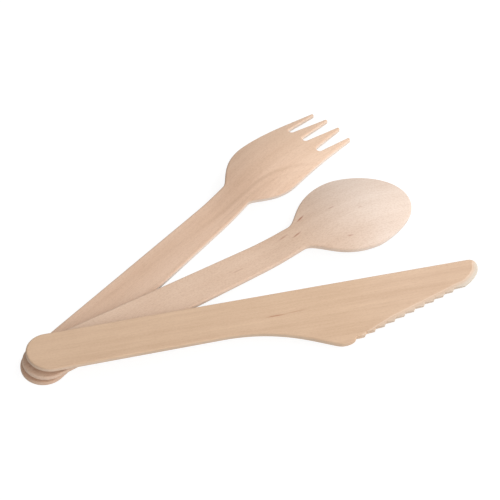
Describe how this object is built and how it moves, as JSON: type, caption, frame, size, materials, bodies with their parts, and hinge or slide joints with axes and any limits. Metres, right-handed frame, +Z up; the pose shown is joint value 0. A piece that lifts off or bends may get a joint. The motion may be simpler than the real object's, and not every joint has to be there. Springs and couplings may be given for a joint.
{
  "type": "wooden cutlery set",
  "caption": "Disposable birch cutlery fanned out on a table: a pressed fork and spoon lying face down and a flat knife with a bevelled saw edge on top.",
  "frame": {"origin": "on the table, under the middle of the box of the whole fan", "axes": "+Z up from the table, +X from the stacked handle ends towards the blade of the knife, +Y towards the head of the fork"},
  "size_m": [0.1602, 0.1282, 0.0117],
  "materials": {
    "fork_birch": "unfinished birch veneer, pinkish tan, sanded smooth",
    "spoon_birch": "unfinished birch veneer, pale and slightly pink, sanded smooth",
    "knife_birch": "unfinished birch veneer, yellowish beige, sanded smooth"
  },
  "bodies": {
    "root": {"fork": "fork_birch", "spoon": "spoon_birch", "knife": "knife_birch"}
  },
  "joints": []
}
